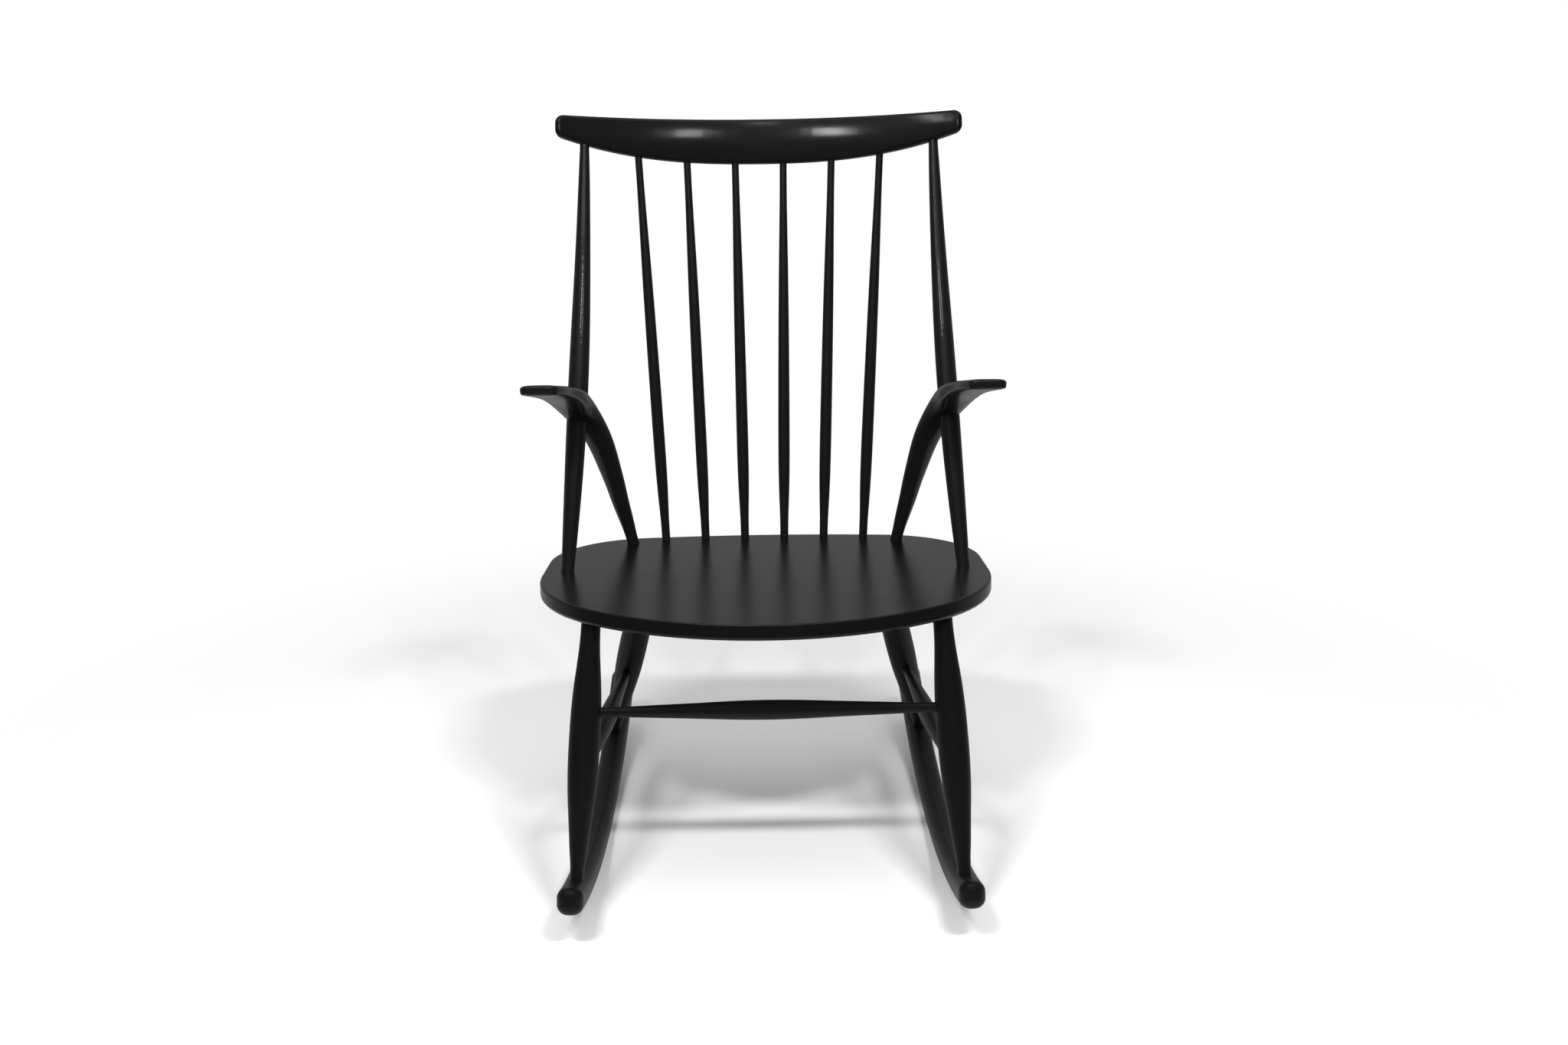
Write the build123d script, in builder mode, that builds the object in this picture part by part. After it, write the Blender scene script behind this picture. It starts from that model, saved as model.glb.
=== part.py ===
"""Spindle-back rocking chair in black lacquered beech.

Frame: millimetres, +Z up, +X to the right as seen from the front, +Y to the back, so the chair
faces -Y. The origin is on the floor, midway between the front and back ends of the rockers.
Left and right are as seen from the front: left is -X. Pieces that come in pairs are drawn on the
right and mirrored.
"""

import os
from math import copysign, cos, pi, radians, sin, sqrt

from build123d import *

# ---------------------------------------------------------------- driving dimensions, mm and degrees

# rockers: bent rails of rounded section that toe in towards the back
rocker_length = 782.0
rocker_radius = 1290.0
rocker_contact_at = -4.0
rocker_width = 33.0
rocker_height = 34.0
rocker_corner = 13.0
rocker_inset = 68.0
rocker_toe_in = 2.2

# seat: a flat board with a deeply bowed front, tilted down towards the back
seat_front_y = -305.0
seat_front_height = 400.0
seat_tilt = 4.0
seat_depth = 471.5
seat_thickness = 21.0
seat_front_half_width = 298.5
seat_front_bow = 181.5
seat_side_taper = 17.5
seat_rear_radius = 1500.0
seat_side_blend = 220.0
seat_rear_blend = 138.0
seat_top_round = 3.0
seat_bottom_round = 5.5

# legs: turned, alike in profile, with a plain round end in the seat and in the rocker
front_leg_top_inset = 83.5
front_leg_top_back = 109.0
front_leg_foot_at = -317.0
front_leg_foot_inset = 2.0
rear_leg_top_inset = 127.8
rear_leg_top_ahead = 58.0
rear_leg_foot_at = 226.0
leg_top_diameter = 24.5
leg_belly_diameter = 39.0
leg_foot_diameter = 17.5
leg_seat_tenon = 13.0
leg_rocker_tenon = 17.0

# stretchers: turned, swollen in the middle
front_stretcher_height = 265.0
side_stretcher_front_height = 192.0
side_stretcher_rear_height = 163.0
stretcher_end_diameter = 12.5
stretcher_belly_diameter = 24.5
stretcher_stop = 5.0

# spindles: fanning out from the seat to the crest rail
spindle_count = 6
spindle_foot_pitch = 54.5
spindle_top_pitch = 66.5
spindle_inset = 17.0
spindle_foot_diameter = 11.3
spindle_belly_diameter = 16.0
spindle_top_diameter = 9.8
spindle_lean = 17.0
spindle_length = 518.0
spindle_seat_tenon = 13.0
spindle_crest_tenon = 22.0

# crest rail: a bent board whose ends come forward, sawn to a taper along its lower edge
crest_inset = 21.5
crest_bow = 62.5
crest_thickness = 20.0
crest_crown = 3.0
crest_height = 61.5
crest_taper = 33.0
crest_taper_power = 2.7
crest_end_corner = 11.0
crest_edge_round = 5.2

# back posts: turned, bent a little inwards, passing up through the arms into the crest rail
post_foot_inset = 31.5
post_foot_ahead = 194.0
post_top_inset = 38.5
post_top_ahead = 1.7
post_bow = 4.5
post_foot_diameter = 17.0
post_belly_diameter = 27.0
post_top_diameter = 12.8
post_seat_tenon = 11.0
post_crest_tenon = 15.0

# arms: one piece each, a round leg that swells, bends over the post and flattens to a pad
arm_foot_inset = 101.3
arm_foot_ahead = 42.0
arm_foot_diameter = 15.8
arm_seat_tenon = 13.0
arm_socket_ease = 0.1
arm_leg_bow_in = 8.8
arm_leg_bow_back = 16.7
arm_elbow_height = 202.0
arm_elbow_inwards = 1.5
arm_elbow_ahead = 5.9
arm_elbow_width = 43.0
arm_elbow_thickness = 39.0
arm_pad_length = 192.0
arm_pad_rise = 57.8
arm_pad_splay = 34.0
arm_pad_width = 52.0
arm_pad_thickness = 14.2
arm_nose_length = 11.0
arm_nose_corner = 14.0
arm_nose_squareness = 3.2

socket_gap = 1.0          # space left under each tenon
neck = 8.0                # plain round length of a piece where it leaves its socket
drill_run_in = 16.0       # length of a bit outside the mouth of its socket

# profiles of the turned pieces: part of the length, part of the swelling from the end to the belly
leg_profile = [(0.27, 0.74), (0.47, 1.0), (0.65, 0.86), (0.80, 0.47), (0.91, 0.16)]
stretcher_profile = [(0.13, 0.16), (0.30, 0.62), (0.42, 0.96), (0.58, 0.96), (0.70, 0.62), (0.87, 0.16)]
spindle_profile = [(0.12, 0.62), (0.29, 1.0), (0.50, 0.86), (0.75, 0.45)]
post_profile = [(0.17, 0.63), (0.36, 1.0), (0.54, 0.92), (0.70, 0.63), (0.86, 0.31)]

# the arm's leg from its foot to the elbow: part of the way, parts of the bow inwards and back, parts
# of the change from the foot's diameter to the elbow's width and thickness, squareness
arm_leg_profile = [
    (0.124, 0.24, 0.26, 0.07, 0.09, 2.0),
    (0.307, 0.50, 0.50, 0.27, 0.33, 2.0),
    (0.430, 0.75, 0.67, 0.38, 0.47, 2.0),
    (0.550, 0.91, 0.81, 0.50, 0.61, 2.0),
    (0.733, 1.00, 1.00, 0.68, 0.83, 2.0),
    (0.881, 0.60, 0.84, 0.82, 0.96, 2.1),
]

# the arm from its elbow to the front of its pad: parts of the pad's length, rise and splay, parts of
# the change from the elbow's width and thickness to the pad's, squareness
arm_pad_profile = [
    (0.000, 0.000, 0.000, 0.00, 0.00, 2.3),
    (0.161, 0.281, 0.235, 0.67, 0.36, 2.6),
    (0.375, 0.535, 0.471, 0.89, 0.72, 3.0),
    (0.630, 0.746, 0.706, 0.89, 0.92, 3.6),
    (0.870, 0.912, 0.882, 1.00, 1.00, 4.0),
    (1.000, 1.000, 1.000, 0.67, 1.02, 4.0),
]
section_points = 24
nose_steps = (0.35, 0.60, 0.78, 0.90, 0.97, 0.995)

os.makedirs("parts", exist_ok=True)


# ---------------------------------------------------------------- places

seat_rear_half_width = seat_front_half_width - seat_side_taper
rocker_half_spacing = seat_front_half_width - rocker_inset
crest_half_width = seat_front_half_width - crest_inset

seat_plane = Plane(
    origin=(0, seat_front_y, seat_front_height),
    x_dir=(1, 0, 0),
    z_dir=(0, sin(radians(seat_tilt)), cos(radians(seat_tilt))),
)
rocker_plane = Plane(
    origin=(rocker_half_spacing, 0, 0),
    x_dir=(-sin(radians(rocker_toe_in)), cos(radians(rocker_toe_in)), 0),
    z_dir=(cos(radians(rocker_toe_in)), sin(radians(rocker_toe_in)), 0),
)
up_seat = Axis(seat_plane.origin, seat_plane.z_dir)
up_spindles = Vector(0, sin(radians(spindle_lean)), cos(radians(spindle_lean)))
spindle_row = seat_depth - spindle_inset


def on_seat(x, back, above=0.0):
    """Point at x, a distance back from the seat's front edge and above its top face."""
    return seat_plane.from_local_coords(Vector(x, back, above))


def under_seat(x, back):
    """Point of the seat's under side."""
    return on_seat(x, back, -seat_thickness)


def on_rocker(along, inset=0.0):
    """Point on the right rocker's top, a distance along it from its middle and inwards from there."""
    rise = sqrt((rocker_radius - rocker_height) ** 2 - (along - rocker_contact_at) ** 2)
    return rocker_plane.from_local_coords(Vector(along, rocker_radius - rise, -inset))


crest_plane = Plane(
    origin=on_seat(0, spindle_row) + up_spindles * spindle_length,
    x_dir=(1, 0, 0),
    z_dir=up_spindles,
)
crest_radius = (crest_half_width**2 + crest_bow**2) / (2 * crest_bow)
crest_crown_radius = ((crest_height / 2) ** 2 + crest_crown**2) / (2 * crest_crown)
crest_crown_shift = crest_crown_radius - crest_thickness / 2


def crest_lower_edge(x):
    """Height of the crest rail's lower edge at x over its height in the middle."""
    return crest_taper * (abs(x) / crest_half_width) ** crest_taper_power


def under_crest(x, ahead=0.0):
    """Point at x on the lower edge of the crest rail, ahead of the middle of its thickness."""
    back = sqrt(crest_radius**2 - x**2) - crest_radius
    return crest_plane.from_local_coords(Vector(x, back - ahead, crest_lower_edge(x)))


def rear_edge_drop(x):
    """How far the curve of the seat's rear edge has come forward at x."""
    return seat_rear_radius - sqrt(seat_rear_radius**2 - x**2)


def between(first, last, share):
    """Value a share of the way from first to last."""
    return first + (last - first) * share


seat_side_end = seat_depth - rear_edge_drop(seat_rear_half_width)


def seat_side(back):
    """Half the seat's width between its straight sides, a distance back from its front edge."""
    return between(seat_front_half_width, seat_rear_half_width,
                   (back - seat_front_bow) / (seat_side_end - seat_front_bow))


def at_height(start, end, height):
    """Point at a height above the floor on the line from start to end."""
    return between(start, end, (height - start.Z) / (end.Z - start.Z))


def swelling(profile, first, belly, last):
    """Diameters along a turned piece: (part of the length, diameter) pairs."""
    peak = max(range(len(profile)), key=lambda i: profile[i][1])
    ends = [first] * (peak + 1) + [last] * (len(profile) - peak - 1)
    return [(part, between(end, belly, share)) for (part, share), end in zip(profile, ends)]


# ---------------------------------------------------------------- shapes used more than once

def turned(start, end, first, last, tenons, stations, plain=neck):
    """Turned piece from start to end, with plain ends of diameters first and last and their tenons."""
    axis = (end - start).normalized()
    length = (end - start).length
    side = axis.cross(Vector(0, 1, 0)).normalized()
    with BuildPart() as piece:
        with BuildSketch(Plane(origin=start, x_dir=axis, z_dir=side)):
            with BuildLine():
                Polyline((plain, first / 2), (-tenons[0], first / 2), (-tenons[0], 0),
                         (length + tenons[1], 0), (length + tenons[1], last / 2), (length - plain, last / 2))
                Spline((plain, first / 2), *[(part * length, d / 2) for part, d in stations],
                       (length - plain, last / 2), tangents=[(1, 0), (1, 0)])
            make_face()
        revolve(axis=Axis(start, axis))
    return piece.part


def drill(mouth, towards, diameter, depth):
    """Round bit that cuts a socket at its mouth, running towards a point inside the wood."""
    axis = (towards - mouth).normalized()
    with BuildPart() as bit:
        with BuildSketch(Plane(origin=mouth - axis * drill_run_in, z_dir=axis)):
            Circle(diameter / 2)
        extrude(amount=drill_run_in + depth)
    return bit.part


def save(name, piece):
    """Label a finished piece and write it."""
    piece.label = name
    export_step(piece, f"parts/{name}.step")


def save_pair(name, right_piece):
    """Write a right-hand piece and its mirror image."""
    with BuildPart() as left_piece:
        mirror(right_piece, about=Plane.YZ)
    save(f"{name}_right", right_piece)
    save(f"{name}_left", left_piece.part)


# ---------------------------------------------------------------- axes of the pieces

rear_leg_top_back = seat_depth - rear_leg_top_ahead
front_leg_top = under_seat(seat_side(front_leg_top_back) - front_leg_top_inset, front_leg_top_back)
front_leg_foot = on_rocker(front_leg_foot_at, front_leg_foot_inset)
rear_leg_top = under_seat(seat_side(rear_leg_top_back) - rear_leg_top_inset, rear_leg_top_back)
rear_leg_foot = on_rocker(rear_leg_foot_at)

front_stretcher_right = at_height(front_leg_top, front_leg_foot, front_stretcher_height)
front_stretcher_left = Vector(-front_stretcher_right.X, front_stretcher_right.Y, front_stretcher_right.Z)
side_stretcher_front = at_height(front_leg_top, front_leg_foot, side_stretcher_front_height)
side_stretcher_rear = at_height(rear_leg_top, rear_leg_foot, side_stretcher_rear_height)

spindle_axes = []
for i in range(spindle_count):
    place = i - (spindle_count - 1) / 2
    foot_x = place * spindle_foot_pitch
    foot = on_seat(foot_x, spindle_row - rear_edge_drop(foot_x))
    spindle_axes.append((foot, under_crest(place * spindle_top_pitch)))

post_foot_back = seat_depth - post_foot_ahead
post_foot = on_seat(seat_side(post_foot_back) - post_foot_inset, post_foot_back)
post_top = under_crest(crest_half_width - post_top_inset, post_top_ahead)
post_chord = post_top - post_foot


def post_point(part):
    """Point of the bent post's axis, a part of the way up."""
    return post_foot + post_chord * part - Vector(post_bow * 4 * part * (1 - part), 0, 0)


def post_direction(part):
    """Direction of the bent post's axis there."""
    return (post_chord - Vector(post_bow * 4 * (1 - 2 * part), 0, 0)).normalized()


arm_foot_back = seat_depth - arm_foot_ahead
arm_foot_x = seat_side(arm_foot_back) - arm_foot_inset
arm_foot = on_seat(arm_foot_x, arm_foot_back)
post_rise = seat_plane.to_local_coords(post_top).Z
post_in_arm = seat_plane.to_local_coords(post_point(arm_elbow_height / post_rise))
elbow_x = post_in_arm.X - arm_elbow_inwards
elbow_back = post_in_arm.Y - arm_elbow_ahead

# the arm's cross-sections from its leg to the front of its pad: place, width, thickness, squareness
arm_sections = []
for way, bow_in, bow_back, widening, thickening, squareness in arm_leg_profile:
    place = on_seat(between(arm_foot_x, elbow_x, way) - arm_leg_bow_in * bow_in,
                    between(arm_foot_back, elbow_back, way) + arm_leg_bow_back * bow_back,
                    arm_elbow_height * way)
    arm_sections.append((place, between(arm_foot_diameter, arm_elbow_width, widening),
                         between(arm_foot_diameter, arm_elbow_thickness, thickening), squareness))
for way, rise, splay, widening, thinning, squareness in arm_pad_profile:
    place = on_seat(elbow_x + arm_pad_splay * splay, elbow_back - arm_pad_length * way,
                    arm_elbow_height + arm_pad_rise * rise)
    arm_sections.append((place, between(arm_elbow_width, arm_pad_width, widening),
                         between(arm_elbow_thickness, arm_pad_thickness, thinning), squareness))
arm_points = [place for place, *_ in arm_sections]
arm_foot_direction = (arm_points[0] - arm_foot).normalized()


# ---------------------------------------------------------------- rockers

rocker_end_slope = (rocker_length / 2) / rocker_radius
rocker_nose = (rocker_corner + (rocker_width / 2 - rocker_corner) * cos(rocker_end_slope)
               + (rocker_height / 2 - rocker_corner) * sin(rocker_end_slope))
rocker_centre = (rocker_contact_at, rocker_radius)
rocker_mid_radius = rocker_radius - rocker_height / 2


def rocker_section_plane(along):
    """Plane square across the rocker, with local y away from the floor, at a place along it."""
    rise = sqrt(rocker_mid_radius**2 - (along - rocker_contact_at) ** 2)
    middle = rocker_plane.from_local_coords(Vector(along, rocker_radius - rise, 0))
    centre = rocker_plane.from_local_coords(Vector(*rocker_centre, 0))
    inward = (centre - middle).normalized()
    return Plane(origin=middle, x_dir=rocker_plane.z_dir, z_dir=rocker_plane.z_dir.cross(inward))


rocker_front_end = rocker_section_plane(-rocker_length / 2 + rocker_nose)
rocker_rear_end = rocker_section_plane(rocker_length / 2 - rocker_nose)

with BuildPart() as rocker:
    with BuildLine():
        ThreePointArc(rocker_front_end.origin, rocker_section_plane(rocker_contact_at).origin,
                      rocker_rear_end.origin)
    with BuildSketch(rocker_front_end):
        RectangleRounded(rocker_width, rocker_height, rocker_corner)
    sweep()
    for end, outward in ((rocker_front_end, -1), (rocker_rear_end, 1)):
        with BuildSketch(end):
            RectangleRounded(rocker_width, rocker_height, rocker_corner)
            with Locations((-rocker_width, 0)):
                Rectangle(2 * rocker_width, 2 * rocker_height, mode=Mode.SUBTRACT)
        revolve(axis=Axis(end.origin, end.y_dir * outward), revolution_arc=180)
    for leg_top, leg_foot in ((front_leg_top, front_leg_foot), (rear_leg_top, rear_leg_foot)):
        socket = drill(leg_foot, leg_foot * 2 - leg_top, leg_foot_diameter, leg_rocker_tenon + socket_gap)
        add(socket, mode=Mode.SUBTRACT)
save_pair("rocker", rocker.part)


# ---------------------------------------------------------------- legs and stretchers

stretcher_plain = leg_belly_diameter / 2 + neck - stretcher_stop


def leg(top, foot):
    """Turned leg from the seat's under side to the rocker's top."""
    return turned(top, foot, leg_top_diameter, leg_foot_diameter, (leg_seat_tenon, leg_rocker_tenon),
                  swelling(leg_profile, leg_top_diameter, leg_belly_diameter, leg_foot_diameter))


def stretcher(start, end):
    """Turned stretcher between two points on the axes of its legs."""
    stop = (end - start).normalized() * stretcher_stop
    return turned(start + stop, end - stop, stretcher_end_diameter, stretcher_end_diameter, (0, 0),
                  swelling(stretcher_profile, stretcher_end_diameter, stretcher_belly_diameter,
                           stretcher_end_diameter), stretcher_plain)


def stretcher_socket(axis_point, far_end):
    """Bit for a stretcher's socket, from outside a leg to just short of its axis."""
    mouth = axis_point + (far_end - axis_point).normalized() * (leg_belly_diameter / 2)
    depth = leg_belly_diameter / 2 - stretcher_stop + socket_gap
    return drill(mouth, axis_point, stretcher_end_diameter, depth)


with BuildPart() as front_leg:
    add(leg(front_leg_top, front_leg_foot))
    add(stretcher_socket(front_stretcher_right, front_stretcher_left), mode=Mode.SUBTRACT)
    add(stretcher_socket(side_stretcher_front, side_stretcher_rear), mode=Mode.SUBTRACT)
save_pair("front_leg", front_leg.part)

with BuildPart() as rear_leg:
    add(leg(rear_leg_top, rear_leg_foot))
    add(stretcher_socket(side_stretcher_rear, side_stretcher_front), mode=Mode.SUBTRACT)
save_pair("rear_leg", rear_leg.part)

with BuildPart() as front_stretcher:
    add(stretcher(front_stretcher_left, front_stretcher_right))
save("front_stretcher", front_stretcher.part)

with BuildPart() as side_stretcher:
    add(stretcher(side_stretcher_front, side_stretcher_rear))
save_pair("side_stretcher", side_stretcher.part)


# ---------------------------------------------------------------- spindles

for number, (foot, top) in enumerate(spindle_axes, start=1):
    with BuildPart() as spindle:
        add(turned(foot, top, spindle_foot_diameter, spindle_top_diameter,
                   (spindle_seat_tenon, spindle_crest_tenon),
                   swelling(spindle_profile, spindle_foot_diameter, spindle_belly_diameter,
                            spindle_top_diameter)))
    save(f"spindle_{number}", spindle.part)


# ---------------------------------------------------------------- back posts

post_foot_axis = post_direction(0)
post_top_axis = post_direction(1)

with BuildPart() as back_post:
    stations = swelling(post_profile, post_foot_diameter, post_belly_diameter, post_top_diameter)
    with BuildSketch(Plane(origin=post_foot + post_foot_axis * neck, z_dir=post_foot_axis)):
        Circle(post_foot_diameter / 2)
    for part, diameter in stations:
        with BuildSketch(Plane(origin=post_point(part), z_dir=post_direction(part))):
            Circle(diameter / 2)
    with BuildSketch(Plane(origin=post_top - post_top_axis * neck, z_dir=post_top_axis)):
        Circle(post_top_diameter / 2)
    loft()
    with BuildSketch(Plane(origin=post_foot + post_foot_axis * neck, z_dir=-post_foot_axis)):
        Circle(post_foot_diameter / 2)
    extrude(amount=neck + post_seat_tenon)
    with BuildSketch(Plane(origin=post_top - post_top_axis * neck, z_dir=post_top_axis)):
        Circle(post_top_diameter / 2)
    extrude(amount=neck + post_crest_tenon)
save_pair("back_post", back_post.part)


# ---------------------------------------------------------------- arms

def arm_plane(i):
    """Plane of an arm section, square to the line between its neighbours."""
    before = arm_points[i - 1] if i else arm_foot
    after = arm_points[min(i + 1, len(arm_points) - 1)]
    along = (after - before).normalized()
    across = (Vector(1, 0, 0) - along * along.X).normalized()
    return Plane(origin=arm_points[i], x_dir=across, z_dir=along)


def superellipse(width, thickness, squareness):
    """Points of a superellipse: an ellipse at squareness 2, nearer a rectangle above it."""
    points = []
    for k in range(section_points):
        angle = 2 * pi * k / section_points
        across, up = cos(angle), sin(angle)
        points.append((width / 2 * copysign(abs(across) ** (2 / squareness), across),
                       thickness / 2 * copysign(abs(up) ** (2 / squareness), up)))
    return points


with BuildPart() as arm:
    foot_x_dir = (Vector(1, 0, 0) - arm_foot_direction * arm_foot_direction.X).normalized()
    for above in (-arm_seat_tenon, -arm_seat_tenon / 2, 0, neck):
        with BuildSketch(Plane(origin=arm_foot + arm_foot_direction * above, x_dir=foot_x_dir,
                               z_dir=arm_foot_direction)):
            with BuildLine():
                Spline(*superellipse(arm_foot_diameter, arm_foot_diameter, 2), periodic=True)
            make_face()
    for i, (_, width, thickness, squareness) in enumerate(arm_sections):
        pad_front = arm_plane(i)
        with BuildSketch(pad_front):
            with BuildLine():
                Spline(*superellipse(width, thickness, squareness), periodic=True)
            make_face()
    for forward in nose_steps:
        narrowing = arm_nose_corner * (1 - sqrt(1 - forward**2))
        thinning = (1 - forward**arm_nose_squareness) ** (1 / arm_nose_squareness)
        with BuildSketch(pad_front.offset(arm_nose_length * forward)):
            with BuildLine():
                Spline(*superellipse(width - 2 * narrowing, thickness * thinning, squareness), periodic=True)
            make_face()
    loft()
    add(back_post.part, mode=Mode.SUBTRACT)
save_pair("arm", arm.part)


# ---------------------------------------------------------------- crest rail

# a ring with crowned faces, begun on its far side so that its seam falls outside the rail
crest_bend_axis = Axis(crest_plane.from_local_coords(Vector(0, -crest_radius, 0)), crest_plane.z_dir)
crest_ring_start = Plane(origin=crest_plane.from_local_coords(Vector(0, -2 * crest_radius, 0)),
                         x_dir=-crest_plane.y_dir, z_dir=-crest_plane.x_dir)
crest_outline_plane = Plane(origin=crest_plane.from_local_coords(Vector(0, 2 * crest_bow, 0)),
                            x_dir=crest_plane.x_dir, z_dir=-crest_plane.y_dir)

with BuildPart() as crest_rail:
    with BuildSketch(crest_ring_start):
        with Locations((crest_crown_shift, crest_height / 2)):
            Circle(crest_crown_radius)
        with Locations((-crest_crown_shift, crest_height / 2)):
            Circle(crest_crown_radius, mode=Mode.INTERSECT)
    revolve(axis=crest_bend_axis)
    with BuildSketch(crest_outline_plane):
        with BuildLine():
            low_points = [(x, crest_lower_edge(x)) for x in
                          [crest_half_width * k / 4 for k in range(-4, 5)]]
            low = Spline(*low_points)
            Polyline(low @ 1, (crest_half_width, crest_height), (-crest_half_width, crest_height), low @ 0)
        make_face()
        fillet(vertices(), crest_end_corner)
    extrude(amount=4 * crest_bow, mode=Mode.INTERSECT)
    fillet(edges(), crest_edge_round)
    for foot, top in spindle_axes:
        add(drill(top, top * 2 - foot, spindle_top_diameter, spindle_crest_tenon + socket_gap),
            mode=Mode.SUBTRACT)
    for side in (-1, 1):
        mouth = Vector(side * post_top.X, post_top.Y, post_top.Z)
        inner = mouth + Vector(side * post_top_axis.X, post_top_axis.Y, post_top_axis.Z)
        add(drill(mouth, inner, post_top_diameter, post_crest_tenon + socket_gap), mode=Mode.SUBTRACT)
save("crest_rail", crest_rail.part)


# ---------------------------------------------------------------- seat

with BuildPart() as seat:
    with BuildSketch(seat_plane):
        with BuildLine():
            front = ThreePointArc((-seat_front_half_width, seat_front_bow), (0, 0),
                                  (seat_front_half_width, seat_front_bow))
            rear = ThreePointArc((seat_rear_half_width, seat_side_end), (0, seat_depth),
                                 (-seat_rear_half_width, seat_side_end))
            Line(front @ 1, rear @ 0)
            Line(rear @ 1, front @ 0)
        make_face()
        fillet(vertices().group_by(Axis.Y)[0], seat_side_blend)
        fillet(vertices().group_by(Axis.Y)[-1], seat_rear_blend)
    extrude(amount=-seat_thickness)
    fillet(faces().sort_by(up_seat)[-1].edges(), seat_top_round)
    fillet(faces().sort_by(up_seat)[0].edges(), seat_bottom_round)
    for foot, top in spindle_axes:
        socket = drill(foot, foot * 2 - top, spindle_foot_diameter, spindle_seat_tenon + socket_gap)
        add(socket, mode=Mode.SUBTRACT)
    for side in (-1, 1):
        for mouth, outward, diameter, tenon in (
            (front_leg_top, front_leg_foot - front_leg_top, leg_top_diameter, leg_seat_tenon),
            (rear_leg_top, rear_leg_foot - rear_leg_top, leg_top_diameter, leg_seat_tenon),
            (post_foot, post_foot_axis, post_foot_diameter, post_seat_tenon),
            (arm_foot, arm_foot_direction, arm_foot_diameter + arm_socket_ease, arm_seat_tenon),
        ):
            inner = mouth - outward
            add(drill(Vector(side * mouth.X, mouth.Y, mouth.Z), Vector(side * inner.X, inner.Y, inner.Z),
                      diameter, tenon + socket_gap), mode=Mode.SUBTRACT)
save("seat", seat.part)
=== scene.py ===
"""Black lacquered spindle-back rocking chair: finishes, floor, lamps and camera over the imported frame.

Metres, +X to the viewer's right, +Y to the back, +Z up; the chair faces -Y and stands on z = 0.
Every piece of the chair keeps its shape from the frame. The classes below hold one sub-assembly each
and dress its pieces in black lacquer, which differs from piece to piece: satin on the seat, spindles
and rockers, gloss on the posts, legs, stretchers and crest rail, and a gloss rubbed by hands on the
arms.
"""

import logging
import math
from collections.abc import Mapping, Sequence
from dataclasses import dataclass, field
from enum import Enum
from typing import Union

import bpy
import numpy as np
from mathutils import Matrix, Vector

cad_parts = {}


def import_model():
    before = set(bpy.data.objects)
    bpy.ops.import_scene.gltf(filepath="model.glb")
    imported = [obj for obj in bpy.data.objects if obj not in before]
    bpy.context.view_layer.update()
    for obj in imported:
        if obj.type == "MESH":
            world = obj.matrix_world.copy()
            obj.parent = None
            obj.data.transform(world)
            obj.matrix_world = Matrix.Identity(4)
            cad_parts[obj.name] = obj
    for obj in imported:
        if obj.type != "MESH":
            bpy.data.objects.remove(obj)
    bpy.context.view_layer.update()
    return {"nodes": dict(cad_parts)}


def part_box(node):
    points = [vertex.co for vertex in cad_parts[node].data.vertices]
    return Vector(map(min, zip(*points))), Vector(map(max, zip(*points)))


log = logging.getLogger("rocking_chair")

Colour = tuple[float, float, float]
Triple = tuple[float, float, float]
Span = tuple[float, float]


# ------------------------------------------------------------------------------ shader building


class Value:
    """A number that varies over a surface: an output socket with Python's arithmetic on it."""

    def __init__(self, shader: "Shader", socket: bpy.types.NodeSocket) -> None:
        """Wrap an output socket of a node that stands in the shader's tree."""
        self.shader = shader
        self.socket = socket

    def _math(self, operation: str, first: "Number", second: "Number") -> "Value":
        """Add a Math node.

        Args:
            operation: Name of the Math node's operation.
            first: Its first value.
            second: Its second value.

        Returns:
            What the node gives.
        """
        return self.shader.add("ShaderNodeMath", {"operation": operation}, {0: first, 1: second})

    def __add__(self, other: "Number") -> "Value":
        """Give self + other."""
        return self._math("ADD", self, other)

    def __radd__(self, other: "Number") -> "Value":
        """Give other + self."""
        return self._math("ADD", other, self)

    def __sub__(self, other: "Number") -> "Value":
        """Give self - other."""
        return self._math("SUBTRACT", self, other)

    def __rsub__(self, other: "Number") -> "Value":
        """Give other - self."""
        return self._math("SUBTRACT", other, self)

    def __mul__(self, other: "Number") -> "Value":
        """Give self * other."""
        return self._math("MULTIPLY", self, other)

    def __rmul__(self, other: "Number") -> "Value":
        """Give other * self."""
        return self._math("MULTIPLY", other, self)

    def at_most(self, other: "Number") -> "Value":
        """Give the lesser of the two."""
        return self._math("MINIMUM", self, other)

    def at_least(self, other: "Number") -> "Value":
        """Give the greater of the two."""
        return self._math("MAXIMUM", self, other)

    def step(self, low: float, high: float) -> "Value":
        """Rise smoothly from 0 to 1 while this value goes from low to high.

        Args:
            low: Value that gives 0.
            high: Value that gives 1; less than low turns the step round.

        Returns:
            The step, held at 0 and 1 outside the two.
        """
        if low > high:
            return 1.0 - self.step(high, low)
        return self.shader.add("ShaderNodeMapRange", {"interpolation_type": "SMOOTHSTEP"},
                               {"Value": self, "From Min": low, "From Max": high})


Number = Union[Value, float]
Input = Union[Value, float, Sequence[float]]


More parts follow.
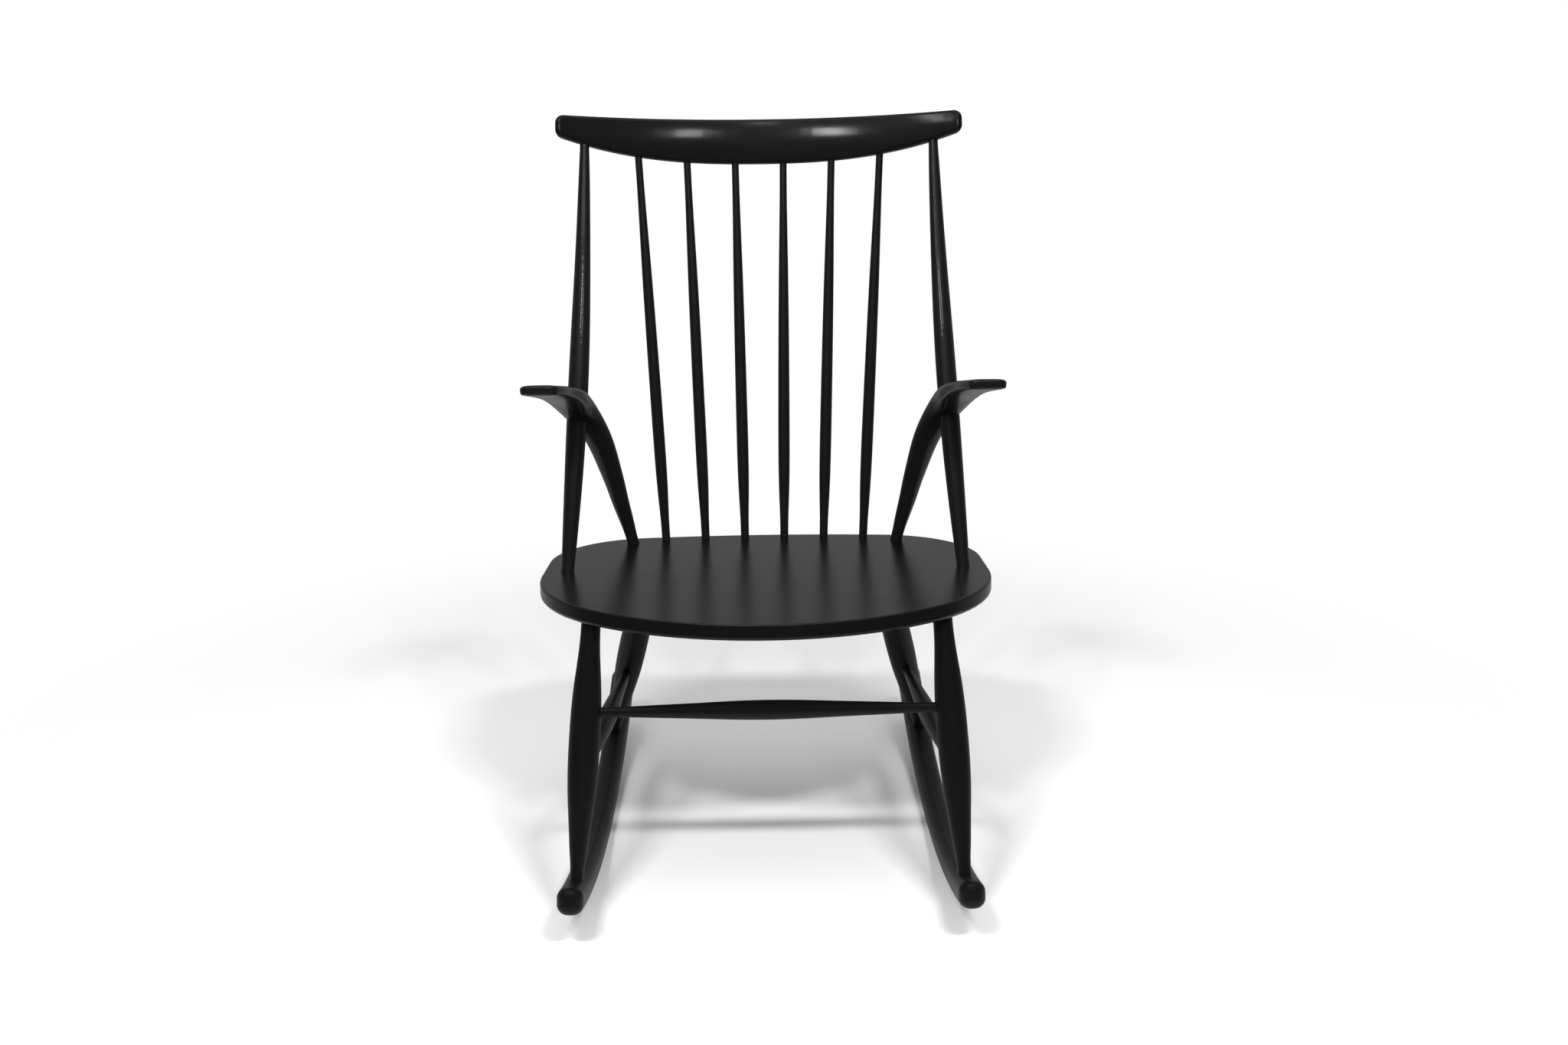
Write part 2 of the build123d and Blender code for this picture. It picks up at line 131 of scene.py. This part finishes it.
class Shader:
    """A node tree that is being filled, with the one method that adds nodes to it."""

    def __init__(self, tree: bpy.types.NodeTree) -> None:
        """Empty a node tree and start on it."""
        self.tree = tree
        tree.nodes.clear()

    def node(self, kind: str, settings: Mapping[str, object] = {},
             inputs: Mapping[Union[str, int], Input] = {}) -> bpy.types.Node:
        """Add a node.

        Args:
            kind: Blender's name of the node type.
            settings: The node's own settings, such as a Math node's operation, set first.
            inputs: Values or links, by the name or number of the socket.

        Returns:
            The node.
        """
        made = self.tree.nodes.new(kind)
        for name, setting in settings.items():
            setattr(made, name, setting)
        for name, value in inputs.items():
            if isinstance(value, Value):
                self.tree.links.new(value.socket, made.inputs[name])
            else:
                made.inputs[name].default_value = value
        return made

    def add(self, kind: str, settings: Mapping[str, object] = {},
            inputs: Mapping[Union[str, int], Input] = {}, output: Union[str, int] = 0) -> Value:
        """Add a node and take one of its outputs.

        Args:
            kind: Blender's name of the node type.
            settings: The node's own settings.
            inputs: Values or links, by the name or number of the socket.
            output: Name or number of the output that is wanted.

        Returns:
            That output.
        """
        return Value(self, self.node(kind, settings, inputs).outputs[output])

    def mix_colours(self, share: Number, first: Input, second: Input) -> Value:
        """Blend two colours.

        Args:
            share: How much of the second, from 0 to 1.
            first: Colour where share is 0.
            second: Colour where share is 1.

        Returns:
            The blended colour.
        """
        return self.add("ShaderNodeMix", {"data_type": "RGBA"}, {0: share, 6: first, 7: second}, 2)


# ------------------------------------------------------------------------------ finishes


NOISE_MIDDLE = 0.5
LACQUER_IOR = 1.5


class Grain(Enum):
    """How the wood's fibres run in a piece, for those that lie along one of the chair's axes."""

    SIDE_TO_SIDE = (1.0, 0.0, 0.0)
    FRONT_TO_BACK = (0.0, 1.0, 0.0)


@dataclass(frozen=True)
class Lacquer:
    """Black lacquer over wood, as one coat on one kind of piece.

    Lengths are in metres. The wood's fibres show through as long low ripples, fine and coarse, the spray
    leaves a fine orange peel, hands and cloths leave clouds and smears of lower and higher gloss and rub
    the black thin where both meet, and dust settles on what faces up. A span gives where something
    starts and where it is whole.
    """

    name: str
    reflectance: float
    gloss_coat: float
    gloss_coat_roughness: float = 0.20
    colour: Colour = (0.0034, 0.0034, 0.0038)
    roughness: float = 0.50
    clouding: float = 0.05
    clouding_size: float = 0.09
    smear_scale: float = 9.0
    ripple_height: float = 0.000004
    ripple_width: float = 0.0022
    ripple_length: float = 0.16
    coarse_ripple_scale: float = 4.5
    coarse_ripple_lift: float = 2.0
    peel_height: float = 0.000003
    peel_size: float = 0.0016
    rub: float = 0.25
    rubbed_colour: Colour = (0.012, 0.010, 0.008)
    rubbed_clouds: Span = (0.52, 0.78)
    rubbed_smears: Span = (0.45, 0.70)
    dust: float = 0.5
    dust_colour: Colour = (0.06, 0.058, 0.055)
    dust_roughness: float = 0.25
    dust_facing_up: Span = (0.55, 0.95)
    dust_cell: float = 0.00625
    dust_share: Span = (0.80, 0.90)
    dust_speck_radius: Span = (0.055, 0.025)
    roughness_limits: Span = (0.08, 0.95)

    def material(self, piece: str, along: Vector) -> bpy.types.Material:
        """Make the lacquer's material for one piece.

        Args:
            piece: Name of the piece, which the material's name ends in.
            along: The way its fibres run.

        Returns:
            The material.
        """
        made = bpy.data.materials.new(f"{self.name}_{piece}")
        made.use_nodes = True
        shader = Shader(made.node_tree)
        spot = shader.add("ShaderNodeTexCoord", output="Object")
        facing = shader.add("ShaderNodeTexCoord", output="Normal")
        fibres = self._along_fibres(shader, spot, along)
        height_up = self._part(shader, facing, 2)

        ripple = self._noise(shader, self._stretched(shader, fibres), 1.0, 3.0)
        coarse = self._noise(shader, self._stretched(shader, fibres, self.coarse_ripple_scale), 1.0, 2.0)
        peel = self._noise(shader, spot, 1.0 / self.peel_size, 1.0)
        clouds = self._noise(shader, spot, 1.0 / self.clouding_size, 4.0)
        smears = self._noise(shader, self._stretched(shader, fibres, self.smear_scale), 1.0, 4.0)
        specks = self._specks(shader, spot)

        settled = specks * height_up.step(*self.dust_facing_up) * self.dust
        rubbed = (clouds.step(*self.rubbed_clouds) * smears.step(*self.rubbed_smears)) * self.rub
        lacquered = shader.mix_colours(rubbed, (*self.colour, 1.0), (*self.rubbed_colour, 1.0))
        dusty = shader.mix_colours(settled, lacquered, (*self.dust_colour, 1.0))

        sheen = (self.roughness + (clouds - NOISE_MIDDLE) * self.clouding * 2.0
                 + (smears - NOISE_MIDDLE) * self.clouding + settled * self.dust_roughness)
        smoothest, roughest = self.roughness_limits
        bumped = shader.add(
            "ShaderNodeBump", {},
            {"Strength": 1.0, "Distance": 1.0,
             "Height": (ripple * self.ripple_height
                        + coarse * (self.ripple_height * self.coarse_ripple_lift)
                        + peel * self.peel_height)})
        surface = shader.add(
            "ShaderNodeBsdfPrincipled", {},
            {"Base Color": dusty,
             "Roughness": sheen.at_least(smoothest).at_most(roughest),
             "IOR": LACQUER_IOR,
             "Specular IOR Level": self.reflectance,
             "Coat Weight": (1.0 - settled) * self.gloss_coat if self.gloss_coat else 0.0,
             "Coat Roughness": self.gloss_coat_roughness,
             "Coat IOR": LACQUER_IOR,
             "Normal": bumped})
        shader.node("ShaderNodeOutputMaterial", {}, {"Surface": surface})
        return made

    @staticmethod
    def _along_fibres(shader: Shader, spot: Value, along: Vector) -> Value:
        """Turn a place on the piece so that its X runs along the fibres.

        Args:
            shader: Shader to add to.
            spot: The place, in the object's own coordinates.
            along: The way the fibres run.

        Returns:
            The turned place.
        """
        turn = along.to_track_quat("X", "Z").inverted().to_euler()
        return shader.add("ShaderNodeMapping", {"vector_type": "POINT"},
                          {"Vector": spot, "Rotation": tuple(turn)})

    def _stretched(self, shader: Shader, fibres: Value, wider: float = 1.0) -> Value:
        """Scale turned places so that one unit is a ripple's length along X and its width across.

        Args:
            shader: Shader to add to.
            fibres: Places with X along the fibres.
            wider: How many times as wide and long the pattern is.

        Returns:
            The scaled places.
        """
        along = 1.0 / (self.ripple_length * wider)
        across = 1.0 / (self.ripple_width * wider)
        return shader.add("ShaderNodeMapping", {"vector_type": "POINT"},
                          {"Vector": fibres, "Scale": (along, across, across)})

    @staticmethod
    def _noise(shader: Shader, place: Value, scale: float, detail: float) -> Value:
        """Add a noise of grey clouds, mostly between 0.3 and 0.7.

        Args:
            shader: Shader to add to.
            place: Where on the surface.
            scale: Clouds in a metre, or in a unit of a scaled place.
            detail: How many finer layers the clouds hold.

        Returns:
            The noise.
        """
        return shader.add("ShaderNodeTexNoise", {"noise_dimensions": "3D"},
                          {"Vector": place, "Scale": scale, "Detail": detail, "Roughness": 0.55})

    def _specks(self, shader: Shader, spot: Value) -> Value:
        """Give sparse round dust specks about half a millimetre across.

        Args:
            shader: Shader to add to.
            spot: Place on the surface.

        Returns:
            1 in a speck and 0 elsewhere.
        """
        cells = shader.node("ShaderNodeTexVoronoi", {"feature": "F1"},
                            {"Vector": spot, "Scale": 1.0 / self.dust_cell})
        distance = Value(shader, cells.outputs["Distance"])
        lot = self._part(shader, Value(shader, cells.outputs["Color"]), 0)
        return distance.step(*self.dust_speck_radius) * lot.step(*self.dust_share)

    @staticmethod
    def _part(shader: Shader, vector: Value, axis: int) -> Value:
        """Give one of a vector's three parts."""
        return shader.add("ShaderNodeSeparateXYZ", {}, {0: vector}, axis)


SEAT_SATIN = Lacquer("seat_satin", reflectance=0.14, gloss_coat=0.0, roughness=0.27, clouding=0.03,
                     clouding_size=0.13, ripple_height=0.0000016, ripple_width=0.0030, ripple_length=0.25,
                     peel_height=0.0000015, rub=0.12)
TURNED_GLOSS = Lacquer("turned_gloss", reflectance=0.10, gloss_coat=0.05)
POST_GLOSS = Lacquer("post_gloss", reflectance=0.22, gloss_coat=0.22, gloss_coat_roughness=0.07,
                     roughness=0.54, ripple_height=0.000007)
SPINDLE_SATIN = Lacquer("spindle_satin", reflectance=0.25, gloss_coat=0.04, gloss_coat_roughness=0.30,
                        roughness=0.58)
BENT_GLOSS = Lacquer("bent_gloss", reflectance=0.075, gloss_coat=0.21, gloss_coat_roughness=0.13,
                     clouding=0.08, clouding_size=0.030, ripple_height=0.000005)
ROCKER_SATIN = Lacquer("rocker_satin", reflectance=0.09, gloss_coat=0.04, gloss_coat_roughness=0.22)
ARM_GLOSS = Lacquer("arm_gloss", reflectance=0.11, gloss_coat=0.12, gloss_coat_roughness=0.06,
                    colour=(0.0055, 0.0055, 0.0058), roughness=0.38, ripple_height=0.000005, rub=0.35)


# ------------------------------------------------------------------------------ sub-assemblies


def centre_line(node: str, outward: float) -> Vector:
    """Give the way a slanting piece runs, from the corners of its box.

    Args:
        node: Name of the piece.
        outward: 1 if its top leans to +X, -1 if it leans to -X, 0 if it stands straight.

    Returns:
        The way from its low end to its high end, one metre long.
    """
    low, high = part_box(node)
    reach = Vector(high) - Vector(low)
    return Vector((reach.x * outward, reach.y, reach.z)).normalized()


@dataclass
class SubAssembly:
    """Pieces of the chair that are dressed together."""

    nodes: Mapping[str, bpy.types.Object]

    def dress(self) -> None:
        """Dress each piece of the sub-assembly."""
        raise NotImplementedError

    def coat(self, node: str, lacquer: Lacquer, along: Vector) -> None:
        """Put a lacquer on a piece.

        Args:
            node: Name of the piece.
            lacquer: Its lacquer.
            along: The way its fibres run.
        """
        material = lacquer.material(node, along)
        for material_slot in self.nodes[node].material_slots:
            material_slot.material = material
        log.info("%s: %s", node, lacquer.name)


@dataclass
class Seat(SubAssembly):
    """The flat board, planed smooth and lacquered satin, with its fibres from side to side."""

    lacquer: Lacquer = SEAT_SATIN

    def dress(self) -> None:
        """Dress the board."""
        self.coat("seat", self.lacquer, Vector(Grain.SIDE_TO_SIDE.value))


@dataclass
class Back(SubAssembly):
    """Crest rail, two bent posts and the fan of spindles."""

    spindle_count: int = 6
    rail_lacquer: Lacquer = BENT_GLOSS
    post_lacquer: Lacquer = POST_GLOSS
    spindle_lacquer: Lacquer = SPINDLE_SATIN

    def dress(self) -> None:
        """Dress the rail, the posts and each spindle."""
        self.coat("crest_rail", self.rail_lacquer, Vector(Grain.SIDE_TO_SIDE.value))
        for side, lean in (("left", 1.0), ("right", -1.0)):
            node = f"back_post_{side}"
            self.coat(node, self.post_lacquer, centre_line(node, lean))
        for number in range(1, self.spindle_count + 1):
            node = f"spindle_{number}"
            lean = -1.0 if number <= self.spindle_count / 2 else 1.0
            self.coat(node, self.spindle_lacquer, centre_line(node, lean))


@dataclass
class Arms(SubAssembly):
    """The two carved arms, rubbed glossy by hands."""

    lacquer: Lacquer = ARM_GLOSS

    def dress(self) -> None:
        """Dress both arms."""
        for side in ("left", "right"):
            self.coat(f"arm_{side}", self.lacquer, Vector(Grain.FRONT_TO_BACK.value))


@dataclass
class Undercarriage(SubAssembly):
    """Four turned legs and three turned stretchers."""

    leg_lacquer: Lacquer = TURNED_GLOSS
    stretcher_lacquer: Lacquer = TURNED_GLOSS

    def dress(self) -> None:
        """Dress the legs and the stretchers."""
        for side, outward in (("left", 1.0), ("right", -1.0)):
            for leg in (f"front_leg_{side}", f"rear_leg_{side}"):
                self.coat(leg, self.leg_lacquer, centre_line(leg, outward))
            self.coat(f"side_stretcher_{side}", self.stretcher_lacquer, Vector(Grain.FRONT_TO_BACK.value))
        self.coat("front_stretcher", self.stretcher_lacquer, Vector(Grain.SIDE_TO_SIDE.value))


@dataclass
class Rockers(SubAssembly):
    """The two bent rockers."""

    lacquer: Lacquer = ROCKER_SATIN

    def dress(self) -> None:
        """Dress both rockers."""
        for side in ("left", "right"):
            self.coat(f"rocker_{side}", self.lacquer, Vector(Grain.FRONT_TO_BACK.value))


# ------------------------------------------------------------------------------ floor, light and camera


class Reach(Enum):
    """What a lamp is for: soft light and shadows on the floor, or its mirror image in the lacquer."""

    FLOOR = "floor"
    GLOSS = "gloss"


@dataclass(frozen=True)
class Lamp:
    """A flat oblong lamp that points at the chair."""

    name: str
    place: Triple
    width: float
    height: float
    power: float
    reach: Reach
    target: Triple = (0.0, 0.1, 0.30)


@dataclass
class Studio:
    """White paper under soft lamps in a room that is bright behind the chair and dark in front of it.

    The paper fades from whole to gone with the distance from its middle. A way's part to the back or
    upwards, -1 to 1, says how far the backdrop or the ceiling has come in.
    """

    paper_middle: float = 0.08
    paper_radius: float = 1.35
    paper_rim_points: int = 96
    paper_whole_to: float = 0.72
    paper_gone_from: float = 1.323
    paper_colour: Colour = (0.86, 0.86, 0.86)
    paper_roughness: float = 0.9
    front: float = 0.04
    backdrop: float = 0.42
    backdrop_from_to: Span = (-0.15, 0.50)
    ceiling: float = 1.4
    ceiling_from_to: Span = (0.70, 0.95)
    lamps: Sequence[Lamp] = field(default_factory=lambda: (
        Lamp("lamp_left", (-0.75, -2.4, 2.6), 0.60, 0.20, 61.0, Reach.FLOOR),
        Lamp("lamp_right", (0.75, -2.4, 2.6), 0.60, 0.20, 61.0, Reach.FLOOR),
        Lamp("fill", (0.0, -3.2, 1.0), 2.2, 1.0, 58.0, Reach.FLOOR),
        Lamp("glint_left", (-0.17, -0.50, 1.45), 0.06, 0.14, 1.9, Reach.GLOSS, (0.08, 0.30, 0.91)),
        Lamp("glint_right", (0.17, -0.50, 1.45), 0.06, 0.14, 1.1, Reach.GLOSS, (-0.08, 0.30, 0.91)),
        Lamp("streak_left", (-0.44, -0.345, 1.75), 0.05, 0.42, 2.0, Reach.GLOSS, (0.25, 0.28, 0.85)),
        Lamp("streak_right", (-0.05, -0.345, 1.77), 0.06, 0.42, 1.2, Reach.GLOSS, (-0.25, 0.28, 0.85)),
    ))

    def build(self) -> None:
        """Lay the floor, hang the lamps and light the room."""
        self._paper()
        for lamp in self.lamps:
            self._hang(lamp)
        self._room()
        bpy.context.scene.view_settings.view_transform = "Standard"

    def _paper(self) -> None:
        """Lay a round sheet of paper that fades away towards its rim: points at equal angles on a circle."""
        angles = np.linspace(0.0, 2.0 * math.pi, self.paper_rim_points, endpoint=False)
        rim = np.column_stack((np.cos(angles), np.sin(angles), np.zeros_like(angles))) * self.paper_radius
        rim[:, 1] += self.paper_middle
        mesh = bpy.data.meshes.new("floor")
        mesh.from_pydata(rim.tolist(), [], [list(range(len(rim)))])
        floor = bpy.data.objects.new("floor", mesh)
        bpy.context.scene.collection.objects.link(floor)
        material = bpy.data.materials.new("floor_paper")
        material.use_nodes = True
        shader = Shader(material.node_tree)
        spot = shader.add("ShaderNodeTexCoord", output="Object")
        from_middle = shader.add("ShaderNodeVectorMath", {"operation": "DISTANCE"},
                                 {0: spot, 1: (0.0, self.paper_middle, 0.0)}, "Value")
        surface = shader.add("ShaderNodeBsdfPrincipled", {},
                             {"Base Color": (*self.paper_colour, 1.0), "Roughness": self.paper_roughness,
                              "Specular IOR Level": 0.0,
                              "Alpha": from_middle.step(self.paper_gone_from, self.paper_whole_to)})
        shader.node("ShaderNodeOutputMaterial", {}, {"Surface": surface})
        mesh.materials.append(material)
        log.info("floor: radius %.2f m", self.paper_radius)

    def _hang(self, lamp: Lamp) -> None:
        """Hang one lamp, unseen by the camera itself."""
        light = bpy.data.lights.new(lamp.name, "AREA")
        light.shape = "RECTANGLE"
        light.size = lamp.width
        light.size_y = lamp.height
        light.energy = lamp.power
        hung = bpy.data.objects.new(lamp.name, light)
        hung.location = lamp.place
        aim = Vector(lamp.target) - Vector(lamp.place)
        hung.rotation_euler = aim.to_track_quat("-Z", "Y").to_euler()
        hung.visible_camera = False
        hung.visible_glossy = lamp.reach is Reach.GLOSS
        hung.visible_diffuse = lamp.reach is Reach.FLOOR
        bpy.context.scene.collection.objects.link(hung)
        log.info("%s: %.1f W", lamp.name, lamp.power)

    def _room(self) -> None:
        """Light the room from all round: the camera sees plain white, the chair sees a studio."""
        world = bpy.data.worlds.new("room")
        bpy.context.scene.world = world
        world.use_nodes = True
        shader = Shader(world.node_tree)
        way = shader.add("ShaderNodeTexCoord", output="Generated")
        back = shader.add("ShaderNodeSeparateXYZ", {}, {0: way}, 1)
        up = shader.add("ShaderNodeSeparateXYZ", {}, {0: way}, 2)
        low = self.front + back.step(*self.backdrop_from_to) * (self.backdrop - self.front)
        strength = low + up.step(*self.ceiling_from_to) * (self.ceiling - low)
        white = (1.0, 1.0, 1.0, 1.0)
        seen = shader.add("ShaderNodeBackground", {}, {"Color": white, "Strength": 1.0})
        felt = shader.add("ShaderNodeBackground", {}, {"Color": white, "Strength": strength})
        camera_ray = shader.add("ShaderNodeLightPath", output="Is Camera Ray")
        mixed = shader.add("ShaderNodeMixShader", {}, {0: camera_ray, 1: felt, 2: seen})
        shader.node("ShaderNodeOutputWorld", {}, {"Surface": mixed})


@dataclass(frozen=True)
class Viewpoint:
    """A camera that stands in front of the chair and looks a little down on it. Angles in degrees."""

    place: Triple = (-0.0130, -3.0657, 1.3818)
    down: float = 17.16
    to_the_right: float = 0.714
    roll: float = 0.636
    focal_length: float = 55.72
    sensor_width: float = 36.0

    def build(self) -> None:
        """Make the camera and let the scene look through it."""
        pitch, yaw, roll = (math.radians(a) for a in (self.down, self.to_the_right, self.roll))
        level_forward = np.array((math.sin(yaw), math.cos(yaw), 0.0))
        forward = math.cos(pitch) * level_forward - np.array((0.0, 0.0, math.sin(pitch)))
        level_right = np.array((math.cos(yaw), -math.sin(yaw), 0.0))
        level_down = np.cross(forward, level_right)
        right = math.cos(roll) * level_right + math.sin(roll) * level_down
        down = math.cos(roll) * level_down - math.sin(roll) * level_right
        data = bpy.data.cameras.new("camera")
        data.sensor_fit = "HORIZONTAL"
        data.sensor_width = self.sensor_width
        data.lens = self.focal_length
        camera = bpy.data.objects.new("camera", data)
        turn = Matrix(np.column_stack((right, -down, -forward)).tolist())
        camera.matrix_world = Matrix.Translation(self.place) @ turn.to_4x4()
        bpy.context.scene.collection.objects.link(camera)
        bpy.context.scene.camera = camera
        log.info("camera: %.1f degrees down, %.1f mm lens", self.down, self.focal_length)


def main() -> None:
    """Load the frame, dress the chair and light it."""
    logging.basicConfig(level=logging.INFO, format="%(name)s: %(message)s")
    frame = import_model()
    nodes = frame["nodes"]
    for assembly in (Seat(nodes), Back(nodes), Arms(nodes), Undercarriage(nodes), Rockers(nodes)):
        assembly.dress()
    Studio().build()
    Viewpoint().build()


if __name__ == "__main__":
    main()
